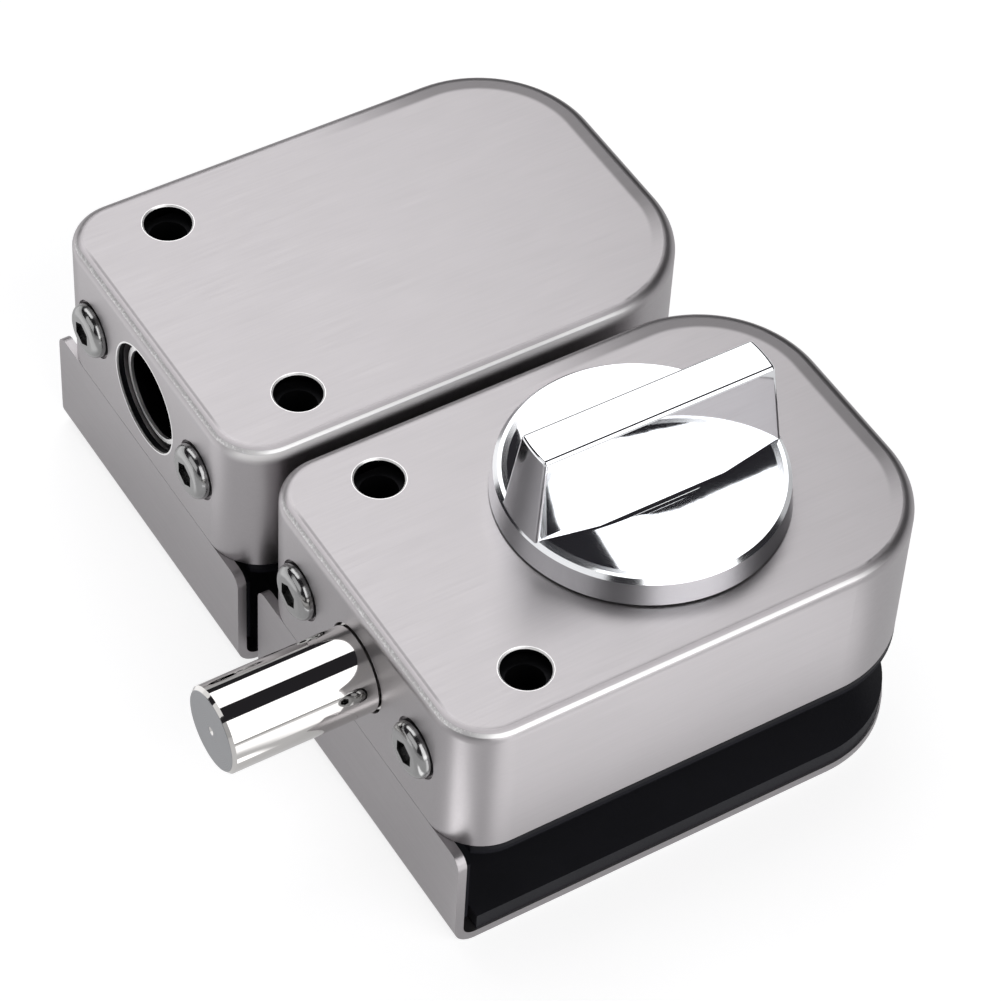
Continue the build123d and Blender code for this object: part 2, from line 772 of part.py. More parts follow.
def grip_section():
    """Section of the grip bar: tapered flanks that flare into the dished disc."""
    foot = knob_rim_height - knob_dish_depth
    top_half = grip_top_width / 2
    foot_half = grip_foot_width / 2
    spread = foot_half + grip_foot_radius
    outline = FilletPolyline(
        (-spread, 0), (spread, 0), (spread, foot), (foot_half, foot), (top_half, knob_height),
        (-top_half, knob_height), (-foot_half, foot), (-spread, foot),
        radius=[0.0, 0.0, 0.0, grip_foot_radius, grip_edge, grip_edge, grip_foot_radius, 0.0], close=True)
    return Plane.YZ * make_face(outline)


def thumb_turn():
    """Die cast turn: dished disc with a rim, and a tapered grip bar across it."""
    grip_reach = knob_radius - grip_end_inset
    cone = Cone(
        grip_reach, grip_reach - knob_taper, knob_height,
        align=(Align.CENTER, Align.CENTER, Align.MIN))
    slope = knob_taper / knob_height
    rim_radius = knob_radius - slope * knob_rim_height
    dish_radius = rim_radius - knob_rim_width
    floor = knob_rim_height - knob_dish_depth
    disc_profile = make_face(
        Polyline(
            (0, 0), (knob_radius, 0), (rim_radius + slope * knob_edge, knob_rim_height - knob_edge),
            (rim_radius - knob_edge, knob_rim_height), (dish_radius, knob_rim_height))
        + ThreePointArc(
            (dish_radius, knob_rim_height),
            (dish_radius * dish_shares[0], floor + knob_dish_depth * dish_shares[1]),
            (0, floor))
        + Polyline((0, floor), (0, 0)))
    disc = revolve(Plane.XZ * disc_profile, Axis.Z)
    grip = extrude(grip_section(), knob_radius, both=True) & cone
    # Edges round the grip's two ends, above the disc
    ends = [
        edge for edge in grip.edges()
        if abs(edge.center().X) > knob_radius / 2 and edge.center().Z > knob_rim_height]
    turn = disc + fillet(ends, grip_end_round)
    recess = ring_z(knob_radius - knob_skirt, knob_boss_radius, 0, 0, -overrun, knob_recess_depth)
    turn = Pos(spindle_inset, 0, knob_low) * (turn - recess)
    return turn - spindle_bar(knob_low - overrun, knob_low + spindle_knob_depth)


def common_parts(name, place, hole_radius, bush_sizes, screw_places, pivot):
    """Pieces that both halves have, by node name."""
    parts = {
        "bracket": bracket(hole_radius),
        "back_pad": back_pad(),
        "edge_pad": edge_pad(),
        "base_plate": base_plate(screw_places, pivot),
        "base_screws": base_screws(screw_places),
        "clamp_block": clamp_block(*bush_sizes),
        "cover_screws": end_screws(),
        "clamp_screws": clamp_screws(),
        "pressure_plate": pressure_plate(),
        "pressure_pad": pressure_pad(),
    }
    return {f"{name}_{part}": place * solid for part, solid in parts.items()}


def lock_parts():
    bush_sizes = (bush_flange_radius, bush_flange_thickness, bush_radius)
    screw_places = block_screw_places() + rail_screw_places()
    parts = common_parts("lock", lock_place, bolt_radius + bolt_hole_gap, bush_sizes, screw_places, True)
    own = {
        "lock_cover": lock_cover(),
        "bolt": bolt(),
        "bolt_bush": bolt_bush(),
        "bolt_pin": bolt_pin(),
        "slide_plate": slide_plate(),
        "rack_bar": rack_bar(),
        "rack_rivets": rack_rivets(),
        "slide_rail_left": slide_rail(1),
        "slide_rail_right": slide_rail(-1),
        "drive_pinion": drive_pinion(),
        "spindle": spindle(),
        "spindle_clip": spindle_clip(),
        "pivot_bush": pivot_bush(),
        "spindle_bush": spindle_bush(),
        "disc_spring": disc_spring(),
        "knob_washer": knob_washer(),
        "thumb_turn": thumb_turn(),
    }
    parts.update({name: lock_place * solid for name, solid in own.items()})
    return parts


def receiver_parts():
    bush_sizes = (strike_flange_radius, strike_flange_thickness, strike_tube_radius)
    parts = common_parts(
        "receiver", receiver_place, strike_hole_radius, bush_sizes, block_screw_places(), False)
    parts["receiver_cover"] = receiver_place * receiver_cover()
    parts["strike_bush"] = receiver_place * strike_bush()
    return parts


os.makedirs("parts", exist_ok=True)
for node, solid in {**lock_parts(), **receiver_parts()}.items():
    export_step(solid, f"parts/{node}.step")
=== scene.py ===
import math

import bmesh
import bpy
from bpy.props import FloatProperty, FloatVectorProperty, PointerProperty
from mathutils import Matrix, Vector


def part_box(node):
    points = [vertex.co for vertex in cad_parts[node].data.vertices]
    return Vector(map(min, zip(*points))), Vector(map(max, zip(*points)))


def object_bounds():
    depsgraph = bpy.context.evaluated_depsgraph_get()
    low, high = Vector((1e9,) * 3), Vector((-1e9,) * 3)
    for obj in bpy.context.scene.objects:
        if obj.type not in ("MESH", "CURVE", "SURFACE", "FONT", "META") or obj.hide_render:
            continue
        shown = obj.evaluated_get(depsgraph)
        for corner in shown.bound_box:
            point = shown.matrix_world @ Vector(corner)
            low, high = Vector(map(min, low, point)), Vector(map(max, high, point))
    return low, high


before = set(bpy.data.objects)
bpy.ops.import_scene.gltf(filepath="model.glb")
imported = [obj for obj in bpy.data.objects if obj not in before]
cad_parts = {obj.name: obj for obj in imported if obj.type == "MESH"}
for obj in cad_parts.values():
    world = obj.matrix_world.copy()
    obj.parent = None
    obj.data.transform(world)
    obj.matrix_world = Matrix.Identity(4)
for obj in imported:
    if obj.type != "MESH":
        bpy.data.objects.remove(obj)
CAD_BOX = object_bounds()

bl_info = {
    "name": "Glass door lock",
    "version": (1, 0, 0),
    "blender": (4, 5, 0),
    "location": "View3D > Sidebar > Glass Lock",
    "description": "Dresses the two halves of a clamp-on glass door lock and sets up its picture",
    "category": "Object",
}

# Places on the lock, in metres
COVER_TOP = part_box("lock_cover")[1].z
BOLT_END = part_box("bolt")[0].x
BOLT_MIDDLE = (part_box("bolt")[0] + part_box("bolt")[1]) / 2
STRIKE_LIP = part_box("strike_bush")[0].x
STRIKE_MIDDLE = (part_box("strike_bush")[0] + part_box("strike_bush")[1]) / 2
KNOB_MIDDLE = (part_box("spindle")[0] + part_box("spindle")[1]) / 2

# Radii of the strike hole in the end wall, of the covers' far corners, of the turn's polished middle
# and of an access hole with its painted highlight rim
STRIKE_HOLE = 0.0093
FAR_CORNER = 0.020
KNOB_RIM = 0.95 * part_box("knob_washer")[1].x - 0.95 * KNOB_MIDDLE.x
ACCESS_RIM = 0.0043

# Width over which a round mark fades out
SOFT_RIM = 0.0001


# Sizes and colours that a user would change

class GlassLockFinishes(bpy.types.PropertyGroup):
    """Colours and surface marks of the lock's finishes"""

    satin_colour: FloatVectorProperty(
        name="Satin steel", description="Colour of the brushed covers and brackets",
        default=(0.452, 0.432, 0.444), subtype="COLOR", size=3, min=0, max=1)
    satin_roughness: FloatProperty(
        name="Satin roughness", description="How widely the brushed steel spreads a reflection",
        default=0.36, min=0, max=1, subtype="FACTOR")
    brush_depth: FloatProperty(
        name="Brush depth", description="Depth of the brush lines in the satin steel",
        default=0.000004, subtype="DISTANCE", unit="LENGTH", precision=6)
    # Painted highlight along the covers' near top edges
    edge_height: FloatProperty(
        name="Edge highlight",
        description="How far down the painted highlight along the cover's top edge ends",
        default=0.00085, subtype="DISTANCE", unit="LENGTH", precision=4)
    # Painted highlights on edges, hole rims and the strike lip, and painted light on the shaded near
    # wall
    highlight_colour: FloatVectorProperty(
        name="Highlight colour", description="Colour of the painted highlights on edges, hole rims and the strike lip, and of the painted light on the shaded near wall",
        default=(0.95, 0.94, 0.94), subtype="COLOR", size=3, min=0, max=1)
    chrome_colour: FloatVectorProperty(
        name="Chrome", description="Colour of the plated thumb turn",
        default=(0.86, 0.87, 0.89), subtype="COLOR", size=3, min=0, max=1)
    bolt_colour: FloatVectorProperty(
        name="Polished bolt", description="Colour of the bolt's polished plating",
        default=(0.68, 0.665, 0.65), subtype="COLOR", size=3, min=0, max=1)
    plain_colour: FloatVectorProperty(
        name="Plain steel", description="Colour of the machined inner pieces",
        default=(0.50, 0.50, 0.50), subtype="COLOR", size=3, min=0, max=1)
    # Painted shade: the clamp blocks are near-black so that the access holes look dark
    zinc_shade_colour: FloatVectorProperty(
        name="Zinc", description="Near-black colour of the cast clamp blocks, painted shade seen down the access holes",
        default=(0.030, 0.030, 0.033), subtype="COLOR", size=3, min=0, max=1)
    turned_colour: FloatVectorProperty(
        name="Turned face", description="Colour of the bolt's bare turned end face",
        default=(0.40, 0.405, 0.42), subtype="COLOR", size=3, min=0, max=1)
    # Painted shade inside the holes and the strike liner
    hole_shade_colour: FloatVectorProperty(
        name="Hole shade", description="Painted shade inside the access holes, the end wall's bore and the strike liner",
        default=(0.012, 0.012, 0.014), subtype="COLOR", size=3, min=0, max=1)
    brass_colour: FloatVectorProperty(
        name="Brass", description="Colour of the bushes",
        default=(0.66, 0.47, 0.20), subtype="COLOR", size=3, min=0, max=1)
    rubber_colour: FloatVectorProperty(
        name="Rubber", description="Colour of the pads that hold the glass",
        default=(0.010, 0.010, 0.013), subtype="COLOR", size=3, min=0, max=1)
    black_colour: FloatVectorProperty(
        name="Blackened steel", description="Colour of the pressure plates and clamp screws",
        default=(0.009, 0.009, 0.011), subtype="COLOR", size=3, min=0, max=1)
    nylon_colour: FloatVectorProperty(
        name="White nylon", description="Colour of the slide rails",
        default=(0.78, 0.77, 0.72), subtype="COLOR", size=3, min=0, max=1)


class GlassLockStage(bpy.types.PropertyGroup):
    """Camera, floor and lamps"""

    azimuth: FloatProperty(
        name="Azimuth", description="Turn of the camera round the lock",
        default=math.radians(-33.93), subtype="ANGLE", unit="ROTATION")
    elevation: FloatProperty(
        name="Elevation", description="Height of the camera above the horizon",
        default=math.radians(48.08), subtype="ANGLE", unit="ROTATION")
    roll: FloatProperty(
        name="Roll", description="Tilt of the picture",
        default=math.radians(3.69), subtype="ANGLE", unit="ROTATION")
    distance: FloatProperty(
        name="Distance", description="From the camera to the point that it looks at",
        default=0.6367, subtype="DISTANCE", unit="LENGTH")
    target: FloatVectorProperty(
        name="Target", description="Point that the camera looks at",
        default=(0.01223, -0.00186, 0.0176), subtype="TRANSLATION", unit="LENGTH", size=3)
    lens: FloatProperty(
        name="Lens", description="Focal length in millimetres", default=143.34)
    floor_size: FloatProperty(
        name="Floor", description="Width of the floor", default=3.0, subtype="DISTANCE", unit="LENGTH")
    wall_height: FloatProperty(
        name="Backdrop", description="Height of the paper backdrop round the floor",
        default=0.45, subtype="DISTANCE", unit="LENGTH")
    floor_colour: FloatVectorProperty(
        name="Floor colour", description="Colour of the floor and backdrop",
        default=(0.40, 0.40, 0.405), subtype="COLOR", size=3, min=0, max=1)
    floor_glow: FloatProperty(
        name="Floor glow", description="Brightness added to the floor where the camera sees it",
        default=0.78)
    floor_mirrored: FloatProperty(
        name="Mirrored floor", description="Brightness added to the floor where metal reflects it",
        default=0.42)
    # Painted reflection: floor patches that glow only where the steel mirrors them
    front_glow_patch: FloatProperty(
        name="Front glow patch", description="Extra brightness of the floor mirrored in the long near side",
        default=0.82)
    end_glow_patch: FloatProperty(
        name="End glow patch", description="Extra brightness of the floor mirrored in the receiver's end",
        default=0.55)
    corner_glow_patch: FloatProperty(
        name="Corner glow patch", description="Extra brightness of the floor mirrored in the near corner",
        default=1.5)
    room_colour: FloatVectorProperty(
        name="Room", description="Dim light from the room round the stage",
        default=(0.022, 0.021, 0.024), subtype="COLOR", size=3, min=0, max=1)
    lamp_distance: FloatProperty(
        name="Lamp distance", description="From the lock to the middle of each softbox",
        default=0.9, subtype="DISTANCE", unit="LENGTH")
    lamp_width: FloatProperty(
        name="Lamp width", description="Length of each softbox",
        default=0.86, subtype="DISTANCE", unit="LENGTH")
    lamp_shift: FloatProperty(
        name="Lamp shift",
        description="How far the back and front softboxes stand towards the thumb turn's end",
        default=0.14, subtype="DISTANCE", unit="LENGTH")
    back_light: FloatProperty(
        name="Back softbox", description="Brightness of the softbox above and behind", default=1.85)
    side_light: FloatProperty(
        name="Side softbox", description="Brightness of the softbox on the bolt's side", default=0.9)
    front_light: FloatProperty(
        name="Front softbox", description="Brightness of the softbox in front", default=1.9)


# Shader helpers

# Sockets of a Mix node that mixes colours
MIX_COLOURS = (6, 7)
MIX_RESULT = 2


class Signal:
    """One socket of a node tree that adds its Math nodes as it is reckoned with."""

    def __init__(self, finish, socket):
        self.finish = finish
        self.socket = socket

    def _maths(self, operation, first, second):
        node = self.finish.node("ShaderNodeMath", {"operation": operation}, {0: first, 1: second})
        return Signal(self.finish, node.outputs[0])

    def __add__(self, other):
        return self._maths("ADD", self, other)

    def __radd__(self, other):
        return self._maths("ADD", other, self)

    def __sub__(self, other):
        return self._maths("SUBTRACT", self, other)

    def __rsub__(self, other):
        return self._maths("SUBTRACT", other, self)

    def __mul__(self, other):
        return self._maths("MULTIPLY", self, other)

    def __rmul__(self, other):
        return self._maths("MULTIPLY", other, self)

    def __pow__(self, other):
        return self._maths("POWER", self, other)

    def sine(self):
        return self._maths("SINE", self, 0.0)

    def size(self):
        return self._maths("ABSOLUTE", self, 0.0)

    def larger(self, other):
        return self._maths("MAXIMUM", self, other)


class Finish:
    """One material, and the nodes that vary its surface."""

    def __init__(self, name, **constants):
        self.material = bpy.data.materials.new(name)
        self.material.use_nodes = True
        self.tree = self.material.node_tree
        self.tree.nodes.clear()
        self.surface = self.node("ShaderNodeBsdfPrincipled", {}, constants)
        self.output = self.node("ShaderNodeOutputMaterial", {}, {})
        self.tree.links.new(self.surface.outputs[0], self.output.inputs["Surface"])

    def node(self, kind, settings, inputs):
        """Any node: its settings first, then values or links for its sockets by name or number."""
        made = self.tree.nodes.new(kind)
        for name, value in settings.items():
            setattr(made, name, value)
        for key, value in inputs.items():
            if isinstance(value, Signal):
                self.tree.links.new(value.socket, made.inputs[key])
            else:
                made.inputs[key].default_value = value
        return made

    def place(self, stretch=(1, 1, 1)):
        """Object coordinates, stretched."""
        where = self.node("ShaderNodeTexCoord", {}, {})
        mapped = self.node("ShaderNodeMapping", {}, {
            "Vector": Signal(self, where.outputs["Object"]), "Scale": stretch})
        return Signal(self, mapped.outputs[0])

    def axis(self, letter):
        """One coordinate of the object, in metres."""
        parts = self.node("ShaderNodeSeparateXYZ", {}, {0: self.place()})
        return Signal(self, parts.outputs[letter])

    def radius(self, first, second, middle):
        """Distance from a line through a middle point, measured along two axes."""
        one = self.axis(first) - middle["XYZ".index(first)]
        other = self.axis(second) - middle["XYZ".index(second)]
        return (one ** 2 + other ** 2) ** 0.5

    def within(self, place, reach):
        """One inside an upright round column about a place, and zero outside it."""
        return self.between(self.radius("X", "Y", place), reach, reach - SOFT_RIM)

    def rings(self, place, pitch):
        """Turning marks round a line along x, from 0 to 1."""
        return 0.5 + 0.5 * (self.radius("Y", "Z", place) * (math.tau / pitch)).sine()

    def noise(self, size, stretch=(1, 1, 1), detail=2.0, roughness=0.5):
        """Noise from 0 to 1 with marks of a size in metres, longer where stretch is smaller."""
        made = self.node("ShaderNodeTexNoise", {}, {
            "Vector": self.place(stretch), "Scale": 1 / size, "Detail": detail, "Roughness": roughness})
        return Signal(self, made.outputs[0])

    def between(self, value, start, end):
        """Smooth step that is zero where a value is at start, and one where it is at end."""
        made = self.node("ShaderNodeMapRange", {"interpolation_type": "SMOOTHSTEP"}, {
            "Value": value, "From Min": start, "From Max": end})
        return Signal(self, made.outputs[0])

    def zone(self, value, rise, fall):
        """One where a value is past rise and short of fall, which are pairs for between."""
        return self.between(value, *rise) * self.between(value, *fall)

    def mix(self, factor, first, second):
        """Mix of two colours."""
        made = self.node("ShaderNodeMix", {"data_type": "RGBA"}, {"Factor": factor})
        for number, value in zip(MIX_COLOURS, (first, second)):
            if isinstance(value, Signal):
                self.tree.links.new(value.socket, made.inputs[number])
            else:
                made.inputs[number].default_value = (*value, 1)
        return Signal(self, made.outputs[MIX_RESULT])

    def bump(self, height, distance, strength=1.0):
        """Relief on the surface from heights of 0 to 1."""
        made = self.node("ShaderNodeBump", {}, {
            "Height": height, "Distance": distance, "Strength": strength})
        self.feed("Normal", Signal(self, made.outputs[0]))

    def feed(self, name, signal):
        self.tree.links.new(signal.socket, self.surface.inputs[name])


def shade(colour, share):
    """A colour made lighter or darker by a share."""
    return tuple(min(1.0, part * share) for part in colour)


# Finishes

# Brushed steel: sizes of its marks, and what they do to its colour and roughness
CLOUD = 0.018
BRUSH_LINE = 0.00035
FINE_GRAIN = 0.00012
CLOUD_SHADES = (0.95, 1.06)
LINE_SHADE, LINE_SHARE = 0.80, 0.3
ROUGH_START, ROUGH_LINES, ROUGH_CLOUDS = -0.05, 0.10, 0.04
GRAIN_RELIEF = 0.4


def satin_steel(name, look, brush=(0.03, 1, 1), cover=None):
    """Brushed stainless steel with brush lines and faint clouds.

    cover holds what cover_marks asks for, by name.
    """
    finish = Finish(name, Metallic=1.0)
    clouds = finish.noise(CLOUD, detail=3.0)
    lines = finish.noise(BRUSH_LINE, stretch=brush, detail=3.0, roughness=0.6)
    grain = finish.noise(FINE_GRAIN, detail=1.0)
    dark, light = (shade(look.satin_colour, share) for share in CLOUD_SHADES)
    tone = finish.mix(clouds, dark, light)
    tone = finish.mix(lines * LINE_SHARE, tone, shade(look.satin_colour, LINE_SHADE))
    rough = look.satin_roughness + ROUGH_START + ROUGH_LINES * lines + ROUGH_CLOUDS * clouds
    relief = lines + GRAIN_RELIEF * grain
    if cover is not None:
        tone, rough, relief = cover_marks(finish, look, tone, rough, relief, **cover)
    finish.feed("Base Color", tone)
    finish.feed("Roughness", rough)
    finish.bump(relief, look.brush_depth)
    return finish.material


# Marks on the covers. A pair is where a mark is nil and where it is full, in metres: down from the
# top for RISE, FALL, HEIGHT and BLACK, in from an end wall for END, STOP and WALL, in from a long
# side for SIDE, in from the outline for INSET, and out from a hole's edge for RIM
LIT_EDGE_END, LIT_EDGE_SIDE = (0.010, 0.026), (0.004, 0.008)
EDGE_RISE = (0.00030, 0.00042)
EDGE_ROUGH, EDGE_RELIEF, EDGE_PLAIN = 0.12, 1.5, 0.5
SPECKLE, SPECKLE_LEVELS, CLEAN_SIDE = 0.0004, (0.45, 0.7), (0.004, 0.002)
SHOULDER_RISE, SHOULDER_FALL = (0.00002, 0.00008), (0.00042, 0.00030)
SHOULDER_LIGHT, SHOULDER_ROUGH = 1.7, 0.26
DARK_LINE_END, DARK_LINE_STOP, DARK_LINE_HEIGHT = (0.0014, 0.0016), (0.0020, 0.0018), (0.00020, 0.00012)
DARK_LINE_SIDE, DARK_LINE_SHADE, DARK_LINE_SHARE = (0.007, 0.012), 0.25, 0.5
BAND_INSET, BAND_HEIGHT, BAND_SIDE = (0.0043, 0.0035), (0.00030, 0.00010), (0.008, 0.022)
BAND_LENGTH, BAND_SHADE = 0.026, 0.45
LIT_STRIP_RISE, LIT_STRIP_FALL, LIT_STRIP_SIDE = (0.00075, 0.00095), (0.0030, 0.0012), (0.006, 0.003)
LIT_STRIP_ROUGH = 0.5
BORE_RIM, BORE_WALL, BORE_BLACK = (0.0003, 0.0002), (0.006, 0.005), (0.00025, 0.00040)
ACCESS_BLACK = (0.00022, 0.00030)


def cover_marks(finish, look, tone, rough, relief, box, holes, bore, shaded):
    """Painted highlights, painted shade and painted light on a cover, added to its colour, roughness
    and relief.

    box is the cover's, holes are the middles of its upright access holes, and bore is the middle and
    radius of a hole in its end wall that gets a painted highlight rim. The near side of a shaded cover
    gets painted light along its top, where the other half stands against it and shades it.
    """
    low, high = box
    middle, half = (low + high) / 2, (high - low) / 2
    depth = COVER_TOP - finish.axis("Z")
    inward, outward = finish.axis("X") - low.x, high.x - finish.axis("X")
    near, far = finish.axis("Y") - low.y, high.y - finish.axis("Y")

    # Painted highlight: a bright line along the near top edges, speckled above the end wall and clean
    # on the side
    lit_near_edges = finish.between(outward, *LIT_EDGE_END) * finish.between(far, *LIT_EDGE_SIDE)
    edge_fall = (look.edge_height + SOFT_RIM, look.edge_height - SOFT_RIM)
    edge = finish.zone(depth, EDGE_RISE, edge_fall) * lit_near_edges
    speckle = finish.between(finish.noise(SPECKLE, detail=2.0), *SPECKLE_LEVELS)
    speckle = speckle.larger(finish.between(near, *CLEAN_SIDE))
    tone = finish.mix(edge * (EDGE_PLAIN + (1 - EDGE_PLAIN) * speckle), tone, look.highlight_colour)
    relief = relief + EDGE_RELIEF * edge * speckle

    # Shoulder between that line and the top, made rougher and duller, with painted light in its colour
    shoulder = finish.zone(depth, SHOULDER_RISE, SHOULDER_FALL) * lit_near_edges
    tone = finish.mix(shoulder, tone, shade(look.satin_colour, SHOULDER_LIGHT))
    rough = rough + EDGE_ROUGH * edge + SHOULDER_ROUGH * shoulder

    # Painted shade: a fine dark line on the top, above the end wall
    line = finish.zone(inward, DARK_LINE_END, DARK_LINE_STOP) * finish.between(depth, *DARK_LINE_HEIGHT)
    line = line * finish.between(near, *DARK_LINE_SIDE) * finish.between(far, *DARK_LINE_SIDE)
    tone = finish.mix(line * DARK_LINE_SHARE, tone, shade(look.satin_colour, DARK_LINE_SHADE))

    # Painted shade: a dark band on the top, round the far end
    across = ((finish.axis("X") - middle.x).size() - (half.x - FAR_CORNER)).larger(0.0)
    along = ((finish.axis("Y") - middle.y).size() - (half.y - FAR_CORNER)).larger(0.0)
    inset = FAR_CORNER - (across ** 2 + along ** 2) ** 0.5
    band = finish.between(inset, *BAND_INSET) * finish.between(inward, half.x, half.x + BAND_LENGTH)
    band = band * finish.between(depth, *BAND_HEIGHT) * finish.between(near, *BAND_SIDE)
    tone = finish.mix(band, tone, shade(look.satin_colour, BAND_SHADE))

    if shaded:
        # Painted light on the upper near wall, which lies in the other half's shade; it is made rougher
        # too
        painted_light_strip = finish.zone(depth, LIT_STRIP_RISE, LIT_STRIP_FALL) * finish.between(near, *LIT_STRIP_SIDE) * lit_near_edges
        tone = finish.mix(painted_light_strip, tone, look.highlight_colour)
        rough = rough + LIT_STRIP_ROUGH * painted_light_strip

    # Painted highlight rims round the holes, and painted shade inside them
    if bore is not None:
        place, radius = bore
        away = finish.radius("Y", "Z", place) - radius
        rim = finish.between(away, *BORE_RIM) * finish.between(inward, *BORE_WALL)
        tone = finish.mix(rim, tone, look.highlight_colour)
        tone = finish.mix(rim * finish.between(inward, *BORE_BLACK), tone, look.hole_shade_colour)
    rims = sum(finish.within(place, ACCESS_RIM) for place in holes)
    tone = finish.mix(rims, tone, look.highlight_colour)
    tone = finish.mix(rims * finish.between(depth, *ACCESS_BLACK), tone, look.hole_shade_colour)
    return tone, rough, relief


# Polished plating: sizes of its marks, and the soft ends of its bare or bright faces
HAZE, WAVE, POLISH_DEPTH, POLISH_STRENGTH = 0.006, 0.005, 0.000006, 0.5
HAZE_SHADE, HAZE_ROUGH, RIM_ROUGH = 1.06, 0.02, 0.10
BARE_FACE = (0.00012, 0.00002)
TURNED_PITCH, TURNED_SHADE, TURNED_RELIEF = 0.00035, 0.88, 0.3
TURNED_ROUGH = (0.25, 0.05)
LIP = (0.0006, 0.0004)
LINER_SHADE, LINER_ROUGH, LINER_HAZE, LIP_ROUGH = 3.0, 0.22, 0.08, 0.15


def chrome(name, look, colour, roughness=0.02, bare=None, rim=None):
    """Bright plating with a slight wave left by polishing.

    bare is where an unplated end face is, and rim the axis and radius of an edge that is worn duller.
    """
    finish = Finish(name, Metallic=1.0)
    haze = finish.noise(HAZE, detail=2.0)
    wave = finish.noise(WAVE, detail=1.0)
    tone = finish.mix(haze, colour, shade(colour, HAZE_SHADE))
    rough = roughness + HAZE_ROUGH * haze
    relief = wave
    if rim is not None:
        rough = rough + RIM_ROUGH * (1 - finish.within(*rim))
    if bare is not None:
        face = finish.between(finish.axis("X") - bare, *BARE_FACE)
        rings = finish.rings(BOLT_MIDDLE, TURNED_PITCH)
        turned = finish.mix(rings, look.turned_colour, shade(look.turned_colour, TURNED_SHADE))
        tone = finish.mix(face, tone, turned)
        rough = rough + face * (TURNED_ROUGH[0] + TURNED_ROUGH[1] * rings)
        relief = wave + TURNED_RELIEF * face * rings
    finish.feed("Base Color", tone)
    finish.feed("Roughness", rough)
    finish.bump(relief, POLISH_DEPTH, POLISH_STRENGTH)
    return finish.material


def strike_chrome(name, look):
    """Lip of a liner with a painted highlight, and painted shade inside and behind it."""
    finish = Finish(name, Metallic=1.0)
    haze = finish.noise(HAZE, detail=2.0)
    lip = finish.between(finish.axis("X") - STRIKE_LIP, *LIP)
    finish.feed("Base Color", finish.mix(lip, shade(look.hole_shade_colour, LINER_SHADE), look.highlight_colour))
    finish.feed("Roughness", LINER_ROUGH + LINER_HAZE * haze + LIP_ROUGH * lip)
    finish.bump(haze, POLISH_DEPTH, POLISH_STRENGTH)
    return finish.material


def grained(name, colour, shades, rough, clouds, grain, depth, detail=3.0, stretch=(1, 1, 1),
            **constants):
    """Finish with clouds in its colour, and a fine grain in its roughness and relief.

    shades is how dark and how light the colour gets, rough is the roughness between the grains and
    what they add to it, clouds, grain and depth are sizes in metres, and constants are the shader's.
    """
    finish = Finish(name, **constants)
    patches = finish.noise(clouds, detail=detail)
    marks = finish.noise(grain, stretch=stretch)
    dark, light = (shade(colour, share) for share in shades)
    finish.feed("Base Color", finish.mix(patches, dark, light))
    finish.feed("Roughness", rough[0] + rough[1] * marks)
    finish.bump(marks, depth)
    return finish.material


def machined_steel(name, look, roughness=0.28, share=1.0):
    """Plain steel with fine tool marks, darker where share is smaller."""
    return grained(
        name, look.plain_colour, shades=(0.85 * share, 1.1 * share), rough=(roughness, 0.5 * roughness),
        clouds=0.006, grain=0.0003, depth=0.000005, detail=2.0, stretch=(1, 0.1, 1), Metallic=1.0)


def cast_zinc(name, look):
    """Die cast zinc, dull and faintly grained, near-black as painted shade seen down the access holes.
    """
    return grained(
        name, look.zinc_shade_colour, shades=(0.8, 1.1), rough=(0.5, 0.2), clouds=0.004, grain=0.0006,
        depth=0.00003, Metallic=1.0)


def rubber(name, look, shine=0.35):
    """Black moulded rubber with a fine matt grain and dusty patches."""
    return grained(
        name, look.rubber_colour, shades=(1.0, 2.0), rough=(0.55, 0.15), clouds=0.012, grain=0.0003,
        depth=0.00002, **{"Specular IOR Level": shine})


def black_steel(name, look):
    """Blackened steel with a thin oil sheen."""
    return grained(
        name, look.black_colour, shades=(1.0, 2.2), rough=(0.38, 0.12), clouds=0.008, grain=0.0004,
        depth=0.000008, **{"Metallic": 0.3, "Specular IOR Level": 0.05})


def nylon(name, colour):
    """Moulded nylon, slightly waxy."""
    return grained(
        name, colour, shades=(0.9, 1.0), rough=(0.42, 0.1), clouds=0.01, grain=0.0005,
        depth=0.00001, detail=2.0, IOR=1.53)


# Turned brass: size and depth of its rings, and what they do to its colour and roughness
BRASS_RING, BRASS_DEPTH, BRASS_SHADES, BRASS_ROUGH = 0.0004, 0.000006, (0.85, 1.1), (0.25, 0.1)


def turned_brass(name, look):
    """Turned brass with rings left by the tool."""
    finish = Finish(name, Metallic=1.0)
    rings = finish.noise(BRASS_RING, stretch=(1, 1, 0.2), detail=1.0)
    dull, bright = (shade(look.brass_colour, share) for share in BRASS_SHADES)
    finish.feed("Base Color", finish.mix(rings, dull, bright))
    finish.feed("Roughness", BRASS_ROUGH[0] + BRASS_ROUGH[1] * rings)
    finish.bump(rings, BRASS_DEPTH)
    return finish.material


def dress(nodes, material):
    """Gives CAD nodes a material."""
    for name in nodes:
        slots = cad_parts[name].data.materials
        slots.clear()
        slots.append(material)


def both(*names):
    """The nodes of these pieces in the lock half and the receiver half."""
    return [f"{half}_{name}" for half in ("lock", "receiver") for name in names]


# How much lighter the nylon washer is than the blackened steel
WASHER_SHADE = 3.0


# Operators, one for each piece or group of like pieces

